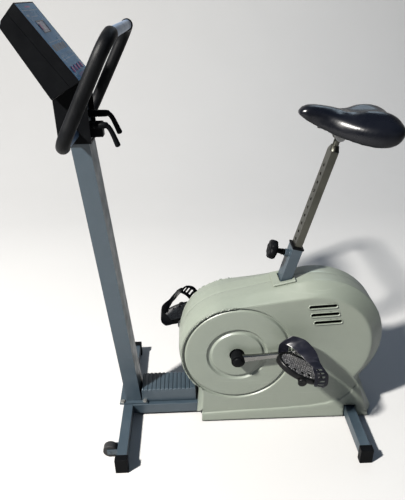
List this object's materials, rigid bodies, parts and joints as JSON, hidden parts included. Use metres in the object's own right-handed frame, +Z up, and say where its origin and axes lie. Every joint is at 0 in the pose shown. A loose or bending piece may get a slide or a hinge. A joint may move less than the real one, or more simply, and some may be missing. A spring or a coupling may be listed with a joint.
{
  "type": "exercise bike",
  "caption": "Upright exercise bike with an enclosed flywheel drive, strap pedals, adjustable seat post and saddle, and a mast carrying a tilting loop handlebar and a console.",
  "frame": {"origin": "on the floor, under the middle of the bike's bounding box", "axes": "+X to the rear, +Y to the rider's right, +Z up"},
  "size_m": [0.9824, 0.556, 1.2257],
  "materials": {
    "frame_paint": "satin blue-grey enamel",
    "black_plastic": "fine-textured black plastic",
    "wheel_plastic": "dark moulded plastic",
    "shroud_plastic": "satin pale grey-green moulded plastic",
    "chrome": "polished chrome plate",
    "steel": "plain machined steel",
    "zinc": "zinc-plated steel",
    "foam": "soft closed-cell foam, faintly shiny",
    "vinyl": "glossy black vinyl over padding",
    "faceplate_print": "printed blue-grey overlay",
    "display": "tinted display window",
    "key_plastic": "pink moulded keys",
    "tread": "worn dark tread",
    "strap_rubber": "flexible dark strap",
    "pulley_plastic": "moulded black pulley",
    "belt_rubber": "ribbed rubber belt",
    "flywheel_iron": "turned cast iron"
  },
  "bodies": {
    "frame": {"base_beam": "frame_paint", "front_stabilizer": "frame_paint", "rear_stabilizer": "frame_paint", "front_caps": "black_plastic", "rear_caps": "black_plastic", "wheel_brackets": "frame_paint", "mast": "frame_paint", "mast_bolts": "zinc", "clamp_bracket": "frame_paint", "neck_cover": "black_plastic", "console_back": "black_plastic", "console_front": "black_plastic", "faceplate": "faceplate_print", "display_window": "display", "step_cover": "frame_paint", "shroud_left": "shroud_plastic", "shroud_right": "shroud_plastic", "shroud_screws": "zinc", "seat_collar": "shroud_plastic", "seat_tube": "frame_paint", "seat_bush": "black_plastic", "bracket_shell": "frame_paint", "crank_bearings": "steel", "drive_belt": "belt_rubber", "flywheel_axle": "steel", "flywheel_brackets": "frame_paint", "magnet_post": "frame_paint", "resistance_motor": "black_plastic"},
    "transport_wheel_left": {"transport_wheel_left": "wheel_plastic"},
    "transport_wheel_right": {"transport_wheel_right": "wheel_plastic"},
    "handlebar": {"handlebar": "frame_paint", "foam_left": "foam", "foam_right": "foam"},
    "clamp_lever_left": {"clamp_lever_left": "black_plastic"},
    "clamp_lever_right": {"clamp_lever_right": "black_plastic"},
    "key_1": {"key_1": "key_plastic"},
    "key_2": {"key_2": "key_plastic"},
    "key_3": {"key_3": "key_plastic"},
    "key_4": {"key_4": "key_plastic"},
    "crank_set": {"crank_spindle": "steel", "crank_left": "chrome", "crank_right": "chrome", "crank_covers": "black_plastic", "drive_pulley": "pulley_plastic", "pedal_spindles": "steel"},
    "pedal_left": {"pedal_left": "tread", "strap_left": "strap_rubber"},
    "pedal_right": {"pedal_right": "tread", "strap_right": "strap_rubber"},
    "flywheel": {"flywheel": "flywheel_iron"},
    "idler_arm": {"idler_arm": "frame_paint"},
    "idler_pulley": {"idler_pulley": "pulley_plastic"},
    "magnet_bracket": {"magnet_bracket": "steel"},
    "seat_knob": {"seat_knob": "black_plastic"},
    "seat_post": {"seat_post": "chrome", "post_cap": "chrome"},
    "saddle": {"saddle_clamp": "steel", "saddle_base": "black_plastic", "saddle_cushion": "vinyl"}
  },
  "joints": [
    {"name": "transport_wheel_left_spin", "type": "hinge", "parent": "frame", "child": "transport_wheel_left", "pos_m": [-0.3485, -0.208, 0.023], "axis": [0, 1, 0], "continuous": true},
    {"name": "transport_wheel_right_spin", "type": "hinge", "parent": "frame", "child": "transport_wheel_right", "pos_m": [-0.3485, 0.208, 0.023], "axis": [0, 1, 0], "continuous": true},
    {"name": "handlebar_tilt", "type": "hinge", "parent": "frame", "child": "handlebar", "pos_m": [-0.36757, 0, 0.931], "axis": [0, 1, 0], "range_deg": [-25, 30]},
    {"name": "clamp_lever_left_turn", "type": "hinge", "parent": "frame", "child": "clamp_lever_left", "pos_m": [-0.33812, -0.024, 0.946], "axis": [1, 0, 0], "range_deg": [-120, 0]},
    {"name": "clamp_lever_right_turn", "type": "hinge", "parent": "frame", "child": "clamp_lever_right", "pos_m": [-0.33812, 0.024, 0.966], "axis": [1, 0, 0], "range_deg": [0, 120]},
    {"name": "key_1_press", "type": "slide", "parent": "frame", "child": "key_1", "axis": [-0.809, 0, -0.5878], "range_m": [0, 0.0015], "stiffness_N_per_m": 400, "springref_m": -0.0005},
    {"name": "key_2_press", "type": "slide", "parent": "frame", "child": "key_2", "axis": [-0.809, 0, -0.5878], "range_m": [0, 0.0015], "stiffness_N_per_m": 400, "springref_m": -0.0005},
    {"name": "key_3_press", "type": "slide", "parent": "frame", "child": "key_3", "axis": [-0.809, 0, -0.5878], "range_m": [0, 0.0015], "stiffness_N_per_m": 400, "springref_m": -0.0005},
    {"name": "key_4_press", "type": "slide", "parent": "frame", "child": "key_4", "axis": [-0.809, 0, -0.5878], "range_m": [0, 0.0015], "stiffness_N_per_m": 400, "springref_m": -0.0005},
    {"name": "crank_spin", "type": "hinge", "parent": "frame", "child": "crank_set", "pos_m": [0.0405, 0, 0.26], "axis": [0, 1, 0], "continuous": true},
    {"name": "pedal_left_spin", "type": "hinge", "parent": "crank_set", "child": "pedal_left", "pos_m": [0.20985, -0.174, 0.27482], "axis": [0, 1, 0], "continuous": true},
    {"name": "pedal_right_spin", "type": "hinge", "parent": "crank_set", "child": "pedal_right", "pos_m": [-0.12885, 0.174, 0.24518], "axis": [0, 1, 0], "continuous": true},
    {"name": "flywheel_spin", "type": "hinge", "parent": "frame", "child": "flywheel", "pos_m": [0.2905, 0, 0.268], "axis": [0, 1, 0], "continuous": true},
    {"name": "idler_arm_swing", "type": "hinge", "parent": "frame", "child": "idler_arm", "pos_m": [0.2625, 0.052, 0.12], "axis": [0, 1, 0], "range_deg": [-6, 0], "stiffness_Nm_per_rad": 8, "springref_deg": 8.59},
    {"name": "idler_pulley_spin", "type": "hinge", "parent": "idler_arm", "child": "idler_pulley", "pos_m": [0.1905, 0.041, 0.17987], "axis": [0, 1, 0], "continuous": true},
    {"name": "magnet_bracket_swing", "type": "hinge", "parent": "frame", "child": "magnet_bracket", "pos_m": [0.4145, -0.002, 0.202], "axis": [0, 1, 0], "range_deg": [0, 6]},
    {"name": "seat_knob_pull", "type": "slide", "parent": "frame", "child": "seat_knob", "axis": [-0.9613, 0, 0.2756], "range_m": [0, 0.01], "stiffness_N_per_m": 800, "springref_m": -0.004},
    {"name": "seat_post_slide", "type": "slide", "parent": "frame", "child": "seat_post", "axis": [0.2756, 0, 0.9613], "range_m": [-0.15, 0.075]},
    {"name": "saddle_tilt", "type": "hinge", "parent": "seat_post", "child": "saddle", "pos_m": [0.30841, 0, 0.89868], "axis": [0, 1, 0], "range_deg": [-10, 10]}
  ],
  "couplings": [
    {"joint": "flywheel_spin", "follows": "crank_spin", "ratio": 6.6667},
    {"joint": "idler_pulley_spin", "follows": "crank_spin", "ratio": -8}
  ]
}
